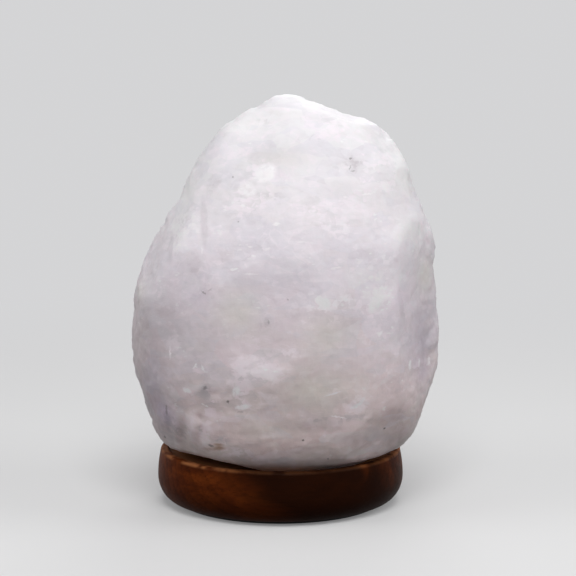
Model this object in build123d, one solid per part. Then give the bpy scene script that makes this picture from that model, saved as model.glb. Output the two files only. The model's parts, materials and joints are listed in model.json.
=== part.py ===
from build123d import *
import math
import os

# Salt crystal lamp: a rough-hewn white salt crystal, bored from below, screwed to a turned wooden base.
# A small-thread lamp holder with a sprung clip is pushed up the bore and carries a pear-shaped bulb.
# Millimetres. +Z is up, the front faces -Y, and the origin is on the table under the middle of the base.

# ---- salt crystal -------------------------------------------------------------------------------
crystal_width = 122.5        # along X, at its widest
crystal_depth = 111.0        # along Y, at its widest
crystal_height = 143.5       # from the sawn seat to the crown
crystal_squareness = 2.35    # 2 is an oval section, more is boxier
hollow_radius = 22.5         # bored from below for the bulb
hollow_depth = 97.0
hollow_end_round = 4.0
facet_bite = 1.0             # one multiplier for how deep the hewn flats cut
section_points = 20
section_waves = [            # shallow lumps round a section: how many, how far they wind up the rock, how high
    (3, 5, 0.010),
    (5, -7, 0.006),
]

# ---- wooden base --------------------------------------------------------------------------------
base_radius = 49.5           # at the belly
base_height = 22.0           # table to rim
belly_height = 11.0          # height of the widest circle
foot_radius = 42.0           # where the underside starts to turn up
rim_radius = 48.4            # outer edge of the top
rim_round = 1.2
crest_width = 1.6            # flat on top of the rim
dish_depth = 1.5             # the seat lies this far under the rim
seat_radius = 42.6
bore_radius = 20.5
bore_chamfer = 1.0
channel_width = 9.0          # groove for the flex, from the bore to the back
channel_depth = 8.0
channel_round = 2.0

# ---- felt ring under the base -------------------------------------------------------------------
felt_thickness = 1.2
felt_outer_radius = 41.0
felt_inner_radius = 36.0

# ---- screws and wall plugs that hold the crystal on the base ------------------------------------
screw_count = 3
screw_circle_radius = 30.0
screw_first_angle = -90.0    # degrees; the channel runs out at +90
screw_radius = 2.0
screw_head_radius = 3.9
screw_head_height = 2.4
screw_grip = 17.0            # length of screw inside the crystal
screw_point = 3.0
screw_recess = 4.0           # head lies this far up its pocket
screw_clearance = 0.25
driver_slot_length = 4.8
driver_slot_width = 0.9
driver_slot_depth = 1.1
plug_radius = 3.3
plug_length = 22.0
plug_barb = 0.35
plug_barbs = 4
plug_collar = 3.0            # plain foot below the barbs
plug_nose = 1.0              # plain end above them
plug_barb_share = 0.8        # of the pitch that one barb takes
plug_clearance = 0.15

# ---- lamp holder --------------------------------------------------------------------------------
holder_foot_height = 9.0     # underside of the neck above the table
holder_radius = 14.0
holder_wall = 1.6
neck_radius = 6.6
neck_length = 8.0
dome_height = 7.0
skirt_height = 6.0
spigot_length = 6.0
spigot_wall = 1.2
shell_length = 29.4
shell_lip = 1.6              # thickness of the inturned top edge
shell_edge = 1.0             # bevel round the top
mouth_radius = 8.6
shell_ribs = 18
shell_rib_radius = 0.55
shell_rib_start = 2.0        # above the shell's foot
shell_rib_length = 13.2
joint_clearance = 0.2        # between holder pieces that slide into each other
insert_floor = 4.0
insert_ledge = 3.0           # height of the cavity for the centre contact
insert_tube_radius = 9.6
insert_shelf = 0.7           # the sleeve stands on a shelf this much narrower than itself
sleeve_radius = 7.2          # inside, clears the bulb's cap
sleeve_wall = 0.5
sleeve_height = 14.0
strip_width = 3.2
strip_thickness = 0.4
strip_bend = 0.5
tongue_rise = 1.2            # the tongue's flat starts this far before the axis
tongue_flat_end = 1.4        # and ends this far past it
tongue_reach = 2.8
tongue_dip = 0.6             # how far its free end turns down
terminal_offset = 6.2
terminal_length = 5.0
terminal_width = 6.0
terminal_height = 5.4
wire_hole_radius = 1.1
terminal_screw_radius = 1.3
terminal_screw_head = 1.9
terminal_screw_head_height = 1.0
terminal_slot_width = 0.5
terminal_slot_depth = 0.45
gland_radius = 5.0
gland_bore_radius = 3.1      # takes the flex
gland_length = 11.0
gland_flange = 1.2
gland_screw_radius = 1.4
gland_screw_length = 2.6
gland_screw_point = 0.3
gland_slot_width = 0.5
gland_slot_depth = 0.7

# ---- sprung clip --------------------------------------------------------------------------------
clip_thickness = 0.6
clip_ring_radius = 15.6
clip_leaves = 3
clip_first_angle = -30.0
leaf_width = 7.0
leaf_shoulder = 1.4          # how far past the ring the leaf turns down
leaf_drop = 13.0             # from the ring down to the gripping bend
leaf_tail = 3.6
leaf_lead_in = 1.2           # how far the tail leans in, so that the clip enters the bore
leaf_root = 0.6              # the leaf is joined this far inside the holder's skin
leaf_bend = 1.2
leaf_clearance = 0.3         # to the bore of the base

# ---- bulb ---------------------------------------------------------------------------------------
bulb_length = 57.0           # tip to crown
bulb_radius = 14.0
bulb_gap = 0.3               # tip above the centre contact
glass_wall = 0.7
bulb_neck_radius = 6.2
bulb_neck_height = 22.0      # top of the straight neck above the tip
glass_start = 14.5           # lower end of the glass above the tip
glass_waist_out = 0.4        # where the flank passes, off the middle between neck and belly
glass_waist_down = 1.5
cap_radius = 6.9
cap_wall = 0.35
cap_start = 4.0
cap_height = 15.5
cap_rim_radius = 7.7
cap_rim_height = 2.6
cap_rim_step = 0.6           # height of the flare below the rim
cap_nose_inset = 1.6         # the cap's lower end turns in this far
cap_nose_edge = 0.6
cap_nose_height = 1.4
cap_nose_thickness = 0.5
tip_radius = 2.4
tip_height = 1.3
tip_seat = 0.5               # the dome's straight edge
insulator_margin = 0.5       # black glass seen round the tip
insulator_inset = 1.1        # its top edge, inside the cap's
stem_radius = 2.3
stem_flange = 0.8
stem_top = 31.0
press_height = 6.0
press_width = 5.4
press_thickness = 1.8
press_overlap = 1.0          # the round stem runs this far into the pinch
lead_radius = 0.3
lead_spread = 1.2            # half the distance between the leads in the stem
lead_bend = 0.7
lead_straight = 1.5          # how far the wires rise out of the pinch before they spread
lead_low = 5.0               # the centre lead starts to lean this far under the flare
lead_join = 3.0              # the side lead leaves the cap's wall this far under the flare
lead_high = 2.0              # and both stand upright from this far under it
filament_half_span = 5.5
filament_height = 42.0       # above the tip
filament_radius = 0.35
filament_bow = 1.4           # its middle stands this far over its ends
filament_end = 0.2           # past the leads
filament_bend = 0.8
filament_shoulder = 0.6      # it bends this far outside its hooks
support_radius = 0.2
support_foot = 0.4
support_offset = 2.2
support_bend = 0.5
wire_clearance = 0.05

# ---- heights that follow from the sizes above ---------------------------------------------------
seat_height = base_height - dish_depth
crown_height = seat_height + crystal_height
cap_top = holder_foot_height + neck_length + dome_height + skirt_height   # holder cap, not the bulb's
shell_foot = cap_top + clip_thickness
holder_top = shell_foot + shell_length
spigot_top = cap_top + spigot_length
spigot_radius = holder_radius - holder_wall - joint_clearance
insert_radius = holder_radius - holder_wall - joint_clearance
cavity_floor = spigot_top + insert_floor
ledge_height = cavity_floor + insert_ledge
insert_top = holder_top - shell_lip
contact_height = cavity_floor + insert_ledge * 0.65
bulb_tip = contact_height + strip_thickness / 2 + bulb_gap


def ring(outer, inner, low, high):
    """A plain tube about Z."""
    tube = Pos(0, 0, low) * extrude(Circle(outer), high - low)
    return tube - Pos(0, 0, low - 1) * extrude(Circle(inner), high - low + 2)


def rod(radius, low, high):
    """A plain cylinder about Z."""
    return Pos(0, 0, low) * extrude(Circle(radius), high - low)


def turned(edges):
    """Turns a closed outline, drawn as (radius, height), about Z."""
    return revolve(Plane.XZ * make_face(Wire(edges)), Axis.Z)


def lower_quarter(centre, across, up):
    """The quarter of an ellipse from straight below its centre round to its right."""
    return EllipticalCenterArc(centre, across, up, start_angle=270, arc_size=90)


def upper_quarter(centre, radius):
    """The quarter of a circle from the right of its centre round to its top."""
    return CenterArc(centre, radius, 0, 90)


def outline(points):
    """The closed straight-sided outline through the points."""
    return Polyline(*points, close=True).edges()


def around(count, first_angle):
    """The angles of a pattern of copies about Z."""
    return [first_angle + 360.0 * i / count for i in range(count)]


def strip(points, bend, width, thickness):
    """A bent strip of sheet metal: its centre line is drawn in XZ and its width lies along Y."""
    path = Plane.XZ * FilletPolyline(*points, radius=bend)
    start = Plane(origin=path @ 0, x_dir=(0, 1, 0), z_dir=path % 0)
    return sweep(start * Rectangle(width, thickness), path)


def wire(points, bend, radius):
    """A round wire along a path in XZ."""
    path = Plane.XZ * FilletPolyline(*points, radius=bend)
    return sweep(Plane(origin=path @ 0, z_dir=path % 0) * Circle(radius), path)


# ---- salt crystal -------------------------------------------------------------------------------
# Stations up the rock, as shares of its height, and how far it reaches from the base's axis at each:
# left and right as shares of the width, front and back as shares of the depth.
crystal_stations = [
    # height  left   right  front  back
    (0.000, 0.310, 0.316, 0.366, 0.338),
    (0.018, 0.350, 0.350, 0.396, 0.380),
    (0.040, 0.396, 0.420, 0.428, 0.422),
    (0.085, 0.424, 0.456, 0.458, 0.446),
    (0.160, 0.450, 0.484, 0.478, 0.468),
    (0.270, 0.486, 0.513, 0.498, 0.490),
    (0.390, 0.480, 0.503, 0.503, 0.497),
    (0.510, 0.457, 0.492, 0.490, 0.484),
    (0.620, 0.396, 0.490, 0.456, 0.450),
    (0.720, 0.329, 0.440, 0.404, 0.402),
    (0.810, 0.272, 0.413, 0.343, 0.340),
    (0.885, 0.210, 0.370, 0.268, 0.255),
    (0.930, 0.154, 0.280, 0.204, 0.186),
    (0.960, 0.092, 0.152, 0.142, 0.118),
    (0.985, 0.022, 0.082, 0.085, 0.060),
    (0.998, -0.006, 0.040, 0.035, 0.022),
]
# Hewn flats: the way each one faces (degrees round from +X, degrees up) and how deep it bites.
crystal_facets = [
    (-28, 2, 3.2),      # flat right side, seen edge-on from the front
    (-92, 6, 1.6),      # broad front
    (-128, 10, 2.2),    # front left
    (-160, 26, 2.0),    # long slope up the left
    (-75, 38, 1.8),     # upper front
    (-30, 42, 2.4),     # right shoulder
    (-118, 48, 2.0),    # upper front left
    (35, 8, 3.0),       # back right
    (88, 4, 2.4),       # back
    (140, 12, 3.0),     # back left
    (60, 40, 2.6),      # upper back right
    (118, 44, 2.6),     # upper back left
    (-52, -24, 2.4),    # under the front right
    (-140, -30, 2.0),   # under the front left
    (-136, -71, 3.0),   # lifts the rock off the rim there
    (70, -26, 2.0),     # under the back
    (172, -14, 0.9),    # low left
    (5, 24, 1.8),       # right, above the widest part
    (4, 5, 1.2),        # takes the edge off below it
]


def crystal_section(height, left, right, front, back):
    """The points of one level section of the rock, a squared oval with shallow lumps."""
    middle = Vector((right - left) / 2 * crystal_width, (back - front) / 2 * crystal_depth)
    half_x = (right + left) / 2 * crystal_width
    half_y = (back + front) / 2 * crystal_depth
    power = 2 / crystal_squareness
    points = []
    for i in range(section_points):
        angle = 2 * math.pi * i / section_points
        c, s = math.cos(angle), math.sin(angle)
        lump = 1 + sum(share * math.sin(count * angle + wind * height) for count, wind, share in section_waves)
        x = math.copysign(abs(c) ** power, c) * half_x * lump
        y = math.copysign(abs(s) ** power, s) * half_y * lump
        points.append(Vector(middle.X + x, middle.Y + y, seat_height + height * crystal_height))
    return points


def rough_rock():
    """The rock before hewing, lofted through its stations, and the points it passes through."""
    sections = [crystal_section(*station) for station in crystal_stations]
    faces = [make_face(Spline(*points, periodic=True)) for points in sections]
    return loft(faces), [p for points in sections for p in points]


def hewn(rock, points, round_angle, up_angle, bite):
    """Cuts one flat: a plane facing the given way, set in from the rock's furthest point that way."""
    a, e = math.radians(round_angle), math.radians(up_angle)
    facing = Vector(math.cos(a) * math.cos(e), math.sin(a) * math.cos(e), math.sin(e))
    reach = max(p.dot(facing) for p in points)
    face = Plane(origin=facing * (reach - bite * facet_bite), z_dir=facing)
    return split(rock, bisect_by=face, keep=Keep.BOTTOM)


def screw_places():
    return [Rot(0, 0, a) * Pos(screw_circle_radius, 0, 0) for a in around(screw_count, screw_first_angle)]


def salt_crystal():
    rock, points = rough_rock()
    for facet in crystal_facets:
        rock = hewn(rock, points, *facet)
    hollow = rod(hollow_radius, seat_height - 1, seat_height + hollow_depth)
    hollow = fillet(hollow.edges().sort_by(Axis.Z)[-1], hollow_end_round)
    rock -= hollow
    socket = rod(plug_radius + plug_clearance, seat_height - 1, seat_height + plug_length + 1)
    for place in screw_places():
        rock -= place * socket
    return rock


# ---- wooden base --------------------------------------------------------------------------------
def channel_tool(margin):
    """The groove for the flex, open downwards, with rounded upper corners."""
    top = felt_thickness + channel_depth
    section = Pos(0, top / 2 - margin / 2) * Rectangle(channel_width, top + margin)
    corners = section.vertices().group_by(Axis.Y)[-1]
    section = fillet(corners, channel_round)
    return extrude(Plane.XZ * section, -(base_radius + margin))


def screw_void():
    """Hole for one screw through the base, with its tapered head seat and its pocket."""
    head = felt_thickness + screw_recess
    hole = screw_radius + screw_clearance
    pocket = screw_head_radius + screw_clearance
    return turned(outline([
        (0, -1),
        (pocket, -1),
        (pocket, head),
        (hole, head + screw_head_height),
        (hole, seat_height + 1),
        (0, seat_height + 1),
    ]))


def wooden_base():
    crest = rim_radius - rim_round
    profile = [
        Line((bore_radius, felt_thickness), (foot_radius, felt_thickness)),
        lower_quarter((foot_radius, belly_height), base_radius - foot_radius, belly_height - felt_thickness),
        TangentArc((base_radius, belly_height), (rim_radius, base_height - rim_round), tangent=(0, 1)),
        upper_quarter((crest, base_height - rim_round), rim_round),
        Line((crest, base_height), (crest - crest_width, base_height)),
        TangentArc((seat_radius, seat_height), (crest - crest_width, base_height), tangent=(1, 0)),
        Line((seat_radius, seat_height), (bore_radius, seat_height)),
        Line((bore_radius, seat_height), (bore_radius, felt_thickness)),
    ]
    base = turned(profile)
    lower_bore = base.edges().filter_by(GeomType.CIRCLE).filter_by(
        lambda e: abs(e.radius - bore_radius) < 0.01).sort_by(Axis.Z)[0]
    base = chamfer(lower_bore, bore_chamfer)
    base -= channel_tool(2)
    for place in screw_places():
        base -= place * screw_void()
    return base


def felt_ring():
    felt = ring(felt_outer_radius, felt_inner_radius, 0, felt_thickness)
    return felt - channel_tool(2)


def fixing_screws():
    head = felt_thickness + screw_recess
    tip = seat_height + screw_grip
    screw = turned(outline([
        (0, head),
        (screw_head_radius, head),
        (screw_radius, head + screw_head_height),
        (screw_radius, tip - screw_point),
        (0, tip),
    ]))
    slot = Pos(0, 0, head) * Box(driver_slot_length, driver_slot_width, 2 * driver_slot_depth)
    slot += Pos(0, 0, head) * Box(driver_slot_width, driver_slot_length, 2 * driver_slot_depth)
    screw -= slot
    return Compound(children=[place * screw for place in screw_places()])


def wall_plugs():
    """Nylon plugs in the salt: a tube with a collar of barbs."""
    core = plug_radius - plug_barb
    pitch = (plug_length - plug_collar - plug_nose) / plug_barbs
    points = [(screw_radius + wire_clearance, seat_height), (plug_radius, seat_height)]
    for i in range(plug_barbs):
        low = seat_height + plug_collar + i * pitch
        points += [(plug_radius, low), (core, low), (plug_radius, low + pitch * plug_barb_share)]
    top = seat_height + plug_length
    points += [(core, top), (screw_radius + wire_clearance, top)]
    plug = turned(outline(points))
    return Compound(children=[place * plug for place in screw_places()])


# ---- lamp holder --------------------------------------------------------------------------------
def holder_cap():
    """Bottom half of the holder: neck for the flex, dome, skirt and the spigot the shell screws on to."""
    foot, wall = holder_foot_height, holder_wall
    dome_low, dome_high = foot + neck_length, foot + neck_length + dome_height
    neck_bore = gland_radius + wire_clearance
    outer = [
        Line((neck_bore, foot), (neck_radius, foot)),
        Line((neck_radius, foot), (neck_radius, dome_low)),
        lower_quarter((neck_radius, dome_high), holder_radius - neck_radius, dome_height),
        Line((holder_radius, dome_high), (holder_radius, cap_top)),
        Line((holder_radius, cap_top), (spigot_radius, cap_top)),
        Line((spigot_radius, cap_top), (spigot_radius, spigot_top)),
        Line((spigot_radius, spigot_top), (spigot_radius - spigot_wall, spigot_top)),
        Line((spigot_radius - spigot_wall, spigot_top), (spigot_radius - spigot_wall, dome_high)),
        lower_quarter((neck_radius, dome_high), spigot_radius - spigot_wall - neck_radius, dome_height - wall),
        Line((neck_radius, dome_low + wall), (neck_bore, dome_low + wall)),
        Line((neck_bore, dome_low + wall), (neck_bore, foot)),
    ]
    cap = turned(outer)
    return cap - gland_screw_hole()


def gland_screw_hole():
    tool = extrude(Circle(gland_screw_radius + wire_clearance), neck_radius * 2)
    return Pos(0, 0, gland_screw_height()) * Rot(-90, 0, 0) * tool


def gland_screw_height():
    return holder_foot_height + neck_length / 2


def gland_screw():
    """Slotted grub screw that grips the flex through the neck."""
    body = extrude(Circle(gland_screw_radius), gland_screw_length)
    body = chamfer(body.edges().filter_by(GeomType.CIRCLE).sort_by(Axis.Z)[0], gland_screw_point)
    body -= Pos(0, 0, gland_screw_length) * Box(4 * gland_screw_radius, gland_slot_width, 2 * gland_slot_depth)
    return Pos(0, gland_radius + wire_clearance, gland_screw_height()) * Rot(-90, 0, 0) * body


def cord_gland():
    """Nylon bush in the neck: the flex enters here."""
    foot = holder_foot_height
    return turned(outline([
        (gland_bore_radius, foot - gland_flange),
        (neck_radius, foot - gland_flange),
        (neck_radius, foot),
        (gland_radius, foot),
        (gland_radius, foot + gland_length),
        (gland_bore_radius, foot + gland_length),
    ]))


def holder_shell():
    """Top half of the holder, a ribbed tube with an inturned lip that holds the insert down."""
    inner = holder_radius - holder_wall
    skin = holder_radius - shell_rib_radius / 2
    shell = turned(outline([
        (inner, shell_foot),
        (skin, shell_foot),
        (skin, holder_top - shell_edge),
        (skin - shell_edge, holder_top),
        (mouth_radius, holder_top),
        (mouth_radius, insert_top),
        (inner, insert_top),
    ]))
    rib = Pos(skin, 0, shell_foot + shell_rib_start) * extrude(Circle(shell_rib_radius / 2), shell_rib_length)
    for angle in around(shell_ribs, 0):
        shell += Rot(0, 0, angle) * rib
    return shell


def strip_slots():
    """Slots in the insert's floor for the two contact strips."""
    depth = insert_floor + 2 * insert_ledge
    slot = Box(strip_thickness + joint_clearance, strip_width + joint_clearance, depth)
    return [Pos(x, 0, cavity_floor) * slot for x in (-terminal_offset, side_strip_offset())]


def side_strip_offset():
    return sleeve_radius + sleeve_wall / 2


def holder_insert():
    """Moulded insulator: a floor that carries the terminals and a tube round the threaded sleeve."""
    insert = turned(outline([
        (0, spigot_top),
        (insert_radius, spigot_top),
        (insert_radius, cavity_floor),
        (insert_tube_radius, cavity_floor),
        (insert_tube_radius, insert_top),
        (sleeve_radius + sleeve_wall + wire_clearance, insert_top),
        (sleeve_radius + sleeve_wall + wire_clearance, ledge_height),
        (sleeve_radius - insert_shelf, ledge_height),
        (sleeve_radius - insert_shelf, cavity_floor),
        (0, cavity_floor),
    ]))
    for slot in strip_slots():
        insert -= slot
    return insert


def threaded_sleeve():
    """Brass sleeve that takes the bulb's cap, with the strip down to its terminal."""
    sleeve = ring(sleeve_radius + sleeve_wall, sleeve_radius, ledge_height, ledge_height + sleeve_height)
    tail = ledge_height + 1 - spigot_top
    tab = Pos(side_strip_offset(), 0, spigot_top + tail / 2) * Box(strip_thickness, strip_width, tail)
    return sleeve + tab


def centre_contact():
    """Sprung tongue under the bulb's tip, bent up from the other terminal."""
    low, high = cavity_floor + strip_thickness, contact_height
    points = [
        (-terminal_offset, spigot_top),
        (-terminal_offset, low),
        (-tongue_rise, high),
        (tongue_flat_end, high),
        (tongue_reach, high - tongue_dip),
    ]
    return strip(points, strip_bend, strip_width, strip_thickness)


def terminal_block(side):
    """Brass block with a wire hole from below and a clamp screw hole from outside."""
    middle = spigot_top - terminal_height / 2
    block = Pos(side * terminal_offset, 0, middle) * Box(terminal_length, terminal_width, terminal_height)
    block -= Pos(side * terminal_offset, 0, spigot_top - terminal_height - 1) * extrude(
        Circle(wire_hole_radius), terminal_height)
    block -= terminal_screw_place(side) * extrude(Circle(terminal_screw_radius + wire_clearance),
                                                  terminal_length / 2 + 1)
    return block


def terminal_screw_place(side):
    """Where a clamp screw starts, on the wire hole's axis, pointing outwards."""
    middle = spigot_top - terminal_height / 2
    return Pos(side * terminal_offset, 0, middle) * Rot(0, 90 * side, 0)


def terminal_blocks():
    return Compound(children=[terminal_block(side) for side in (-1, 1)])


def terminal_screws():
    shank = terminal_length / 2
    screw = rod(terminal_screw_radius, 0, shank)
    screw += rod(terminal_screw_head, shank, shank + terminal_screw_head_height)
    screw -= Pos(0, 0, shank + terminal_screw_head_height) * Box(
        3 * terminal_screw_head, terminal_slot_width, 2 * terminal_slot_depth)
    return Compound(children=[terminal_screw_place(side) * screw for side in (-1, 1)])


def spring_clip():
    """Stamped ring trapped between cap and shell, with leaves that spring against the base's bore."""
    washer = ring(clip_ring_radius, spigot_radius + joint_clearance, cap_top, shell_foot)
    reach = math.sqrt((bore_radius - leaf_clearance) ** 2 - (leaf_width / 2) ** 2) - clip_thickness / 2
    level = cap_top + clip_thickness / 2
    points = [
        (holder_radius - leaf_root, level),
        (clip_ring_radius + leaf_shoulder, level),
        (reach, level - leaf_drop),
        (reach - leaf_lead_in, level - leaf_drop - leaf_tail),
    ]
    leaf = strip(points, leaf_bend, leaf_width, clip_thickness)
    clip = washer
    for angle in around(clip_leaves, clip_first_angle):
        clip += Rot(0, 0, angle) * leaf
    return clip


# ---- bulb ---------------------------------------------------------------------------------------
def glass_skin(inset):
    """Half outline of the pear-shaped envelope, from the neck's lower end to the crown."""
    neck, belly = bulb_neck_radius - inset, bulb_radius - inset
    low, shoulder = bulb_tip + glass_start, bulb_tip + bulb_neck_height
    crown = bulb_tip + bulb_length
    centre = crown - bulb_radius
    waist = ((neck + belly) / 2 + glass_waist_out, (shoulder + centre) / 2 - glass_waist_down)
    return [
        Line((neck, low), (neck, shoulder)),
        Spline((neck, shoulder), waist, (belly, centre), tangents=[(0, 1), (0, 1)]),
        upper_quarter((0, centre), belly),
    ]


def bulb_glass():
    outer, inner = glass_skin(0), glass_skin(glass_wall)
    foot = Line(inner[0] @ 0, outer[0] @ 0)
    crown = Line(outer[-1] @ 1, inner[-1] @ 1)
    return turned([*outer, *inner, foot, crown])


def bulb_cap():
    """Screw cap of the bulb. Its rolled thread is left plain."""
    low, high = bulb_tip + cap_start, bulb_tip + cap_start + cap_height
    rim = high - cap_rim_height
    return turned(outline([
        (cap_radius - cap_nose_inset, low),
        (cap_radius - cap_nose_inset + cap_nose_edge, low),
        (cap_radius, low + cap_nose_height),
        (cap_radius, rim),
        (cap_rim_radius, rim + cap_rim_step),
        (cap_rim_radius, high),
        (cap_rim_radius - cap_wall, high),
        (cap_rim_radius - cap_wall, rim + cap_rim_step + cap_wall / 2),
        (cap_radius - cap_wall, rim + cap_wall / 2),
        (cap_radius - cap_wall, low + cap_nose_height),
        (cap_radius - cap_nose_inset, low + cap_nose_thickness),
    ]))


def bulb_insulator():
    """Black glass between the cap and the tip, with a hole for the centre lead."""
    high = bulb_tip + cap_start
    return turned(outline([
        (lead_radius + wire_clearance, bulb_tip + tip_height),
        (tip_radius + insulator_margin, bulb_tip + tip_height),
        (cap_radius - insulator_inset, high),
        (lead_radius + wire_clearance, high),
    ]))


def bulb_contact():
    """Domed solder tip."""
    top = bulb_tip + tip_height
    dome = tip_height - tip_seat
    return turned([
        lower_quarter((0, bulb_tip + dome), tip_radius, dome),
        Line((tip_radius, bulb_tip + dome), (tip_radius, top)),
        Line((tip_radius, top), (0, top)),
        Line((0, top), (0, bulb_tip)),
    ])


def lead_paths():
    """The centre lead rises from the tip, and the side lead from the cap's wall."""
    top = bulb_tip + stem_top
    low = bulb_tip + glass_start - stem_flange
    ends = bulb_tip + filament_height
    centre = [(0, bulb_tip + tip_height), (0, low - lead_low), (-lead_spread, low - lead_high),
              (-lead_spread, top + lead_straight), (-filament_half_span, ends)]
    side = [(cap_radius - cap_wall, low - lead_join), (lead_spread, low - lead_join),
            (lead_spread, top + lead_straight), (filament_half_span, ends)]
    return centre, side


def lead_wires():
    return Compound(children=[wire(points, lead_bend, lead_radius) for points in lead_paths()])


def bulb_stem():
    """Glass flare and pinch that close the neck and carry the wires."""
    low, top = bulb_tip + glass_start, bulb_tip + stem_top
    stem = rod(bulb_neck_radius, low - stem_flange, low)
    stem += rod(stem_radius, low, top - press_height + press_overlap)
    stem += Pos(0, 0, top - press_height / 2) * Box(press_width, press_thickness, press_height)
    for side in (-1, 1):
        stem -= Pos(side * lead_spread, 0, 0) * rod(lead_radius + wire_clearance, low - 2, top + 1)
    return stem


def support_wires():
    """Thin hooks that hold the middle of the filament."""
    top = bulb_tip + stem_top
    high = bulb_tip + filament_height + filament_bow - filament_radius - support_radius - wire_clearance
    paths = [[(side * support_foot, top), (side * support_foot, top + lead_straight),
              (side * support_offset, high)] for side in (-1, 1)]
    return Compound(children=[wire(points, support_bend, support_radius) for points in paths])


def filament():
    """The coiled tungsten filament's outer shape, bowed over its supports."""
    ends = bulb_tip + filament_height + lead_radius
    points = [
        (-filament_half_span - filament_end, ends),
        (-support_offset - filament_shoulder, ends + filament_bow - lead_radius),
        (support_offset + filament_shoulder, ends + filament_bow - lead_radius),
        (filament_half_span + filament_end, ends),
    ]
    return wire(points, filament_bend, filament_radius)


makers = [
    salt_crystal, wooden_base, felt_ring, fixing_screws, wall_plugs,
    holder_cap, holder_shell, holder_insert, threaded_sleeve, centre_contact, terminal_blocks,
    terminal_screws, spring_clip, cord_gland, gland_screw,
    bulb_glass, bulb_cap, bulb_insulator, bulb_contact, bulb_stem, lead_wires, support_wires, filament,
]

os.makedirs("parts", exist_ok=True)
for maker in makers:
    export_step(maker(), f"parts/{maker.__name__}.step")
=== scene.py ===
import json
import math
import random

import bmesh
import bpy
from mathutils import Matrix, Vector, kdtree, noise

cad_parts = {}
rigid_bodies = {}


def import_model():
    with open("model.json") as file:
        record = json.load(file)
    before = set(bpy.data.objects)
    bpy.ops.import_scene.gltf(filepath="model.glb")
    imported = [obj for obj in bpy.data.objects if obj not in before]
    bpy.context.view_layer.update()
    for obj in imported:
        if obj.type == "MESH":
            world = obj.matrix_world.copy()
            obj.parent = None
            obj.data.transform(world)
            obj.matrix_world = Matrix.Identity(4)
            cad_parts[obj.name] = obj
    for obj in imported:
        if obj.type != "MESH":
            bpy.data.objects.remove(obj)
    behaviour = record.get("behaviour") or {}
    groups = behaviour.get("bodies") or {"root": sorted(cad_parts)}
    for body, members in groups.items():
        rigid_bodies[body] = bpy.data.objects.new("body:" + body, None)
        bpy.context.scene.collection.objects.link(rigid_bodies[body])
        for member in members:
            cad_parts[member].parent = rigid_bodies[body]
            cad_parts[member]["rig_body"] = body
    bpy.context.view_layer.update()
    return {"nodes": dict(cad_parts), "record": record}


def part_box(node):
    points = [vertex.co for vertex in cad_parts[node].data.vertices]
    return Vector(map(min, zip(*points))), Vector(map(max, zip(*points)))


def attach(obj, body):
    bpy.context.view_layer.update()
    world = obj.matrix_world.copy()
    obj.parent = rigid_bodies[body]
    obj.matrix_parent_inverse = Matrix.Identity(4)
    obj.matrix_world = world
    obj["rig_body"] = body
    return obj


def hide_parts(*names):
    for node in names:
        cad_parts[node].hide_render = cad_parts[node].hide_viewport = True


mm = 0.001

print("loading the frame")
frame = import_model()
nodes = frame["nodes"]

# the camera stands in front and a little above, and its picture is square
cameraSetup = {
    "picture": 576,            # pixels along a side
    "focalPixels": 2146.4,
    "distance": 850 * mm,      # from the middle of the lamp, along the floor
    "height": 212 * mm,
    "pitchDown": 8.41,
    "axisPixel": 280.3,        # where the middle of the base stands
}


def placed(name, data):   # a new object in the scene
    thing = bpy.data.objects.new(name, data)
    bpy.context.scene.collection.objects.link(thing)
    return thing


def meshOf(bm, name):   # ends a bmesh and keeps what it holds
    mesh = bpy.data.meshes.new(name)
    bm.to_mesh(mesh)
    bm.free()
    return mesh


def makeCamera(setup):
    data = bpy.data.cameras.new("camera")
    data.sensor_width = 36
    data.lens = setup["focalPixels"] / setup["picture"] * data.sensor_width
    data.clip_start, data.clip_end = 0.02, 20
    camera = placed("camera", data)
    aside = (setup["picture"] / 2 - setup["axisPixel"]) / setup["focalPixels"] * setup["distance"]
    camera.location = (aside, -setup["distance"], setup["height"])
    camera.rotation_euler = (math.radians(90 - setup["pitchDown"]), 0, 0)
    bpy.context.scene.camera = camera
    return camera


camera = makeCamera(cameraSetup)
bpy.context.view_layer.update()


def sightLine(px, py):   # start and direction of the ray through a pixel
    setup = cameraSetup
    half = setup["picture"] / 2
    ray = Vector(((px - half) / setup["focalPixels"], (half - py) / setup["focalPixels"], -1))
    return camera.matrix_world.translation.copy(), (camera.matrix_world.to_3x3() @ ray).normalized()


# shader arithmetic: a Tap is one output of a node, Shading a tree of nodes, a Finish one material
def signed(operation, swapped=False):   # what a sign between two taps does
    def work(self, other):
        return self.maths(operation, other, self) if swapped else self.maths(operation, self, other)
    return work


class Tap:
    def __init__(self, finish, socket):
        self.finish, self.socket = finish, socket

    def maths(self, operation, first, second=0.0):
        return self.finish.add("Math", {"operation": operation}, {0: first, 1: second})

    __add__, __radd__ = signed("ADD"), signed("ADD", True)
    __sub__, __rsub__ = signed("SUBTRACT"), signed("SUBTRACT", True)
    __mul__, __rmul__ = signed("MULTIPLY"), signed("MULTIPLY", True)
    __truediv__, __pow__, __gt__ = signed("DIVIDE"), signed("POWER"), signed("GREATER_THAN")


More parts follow.
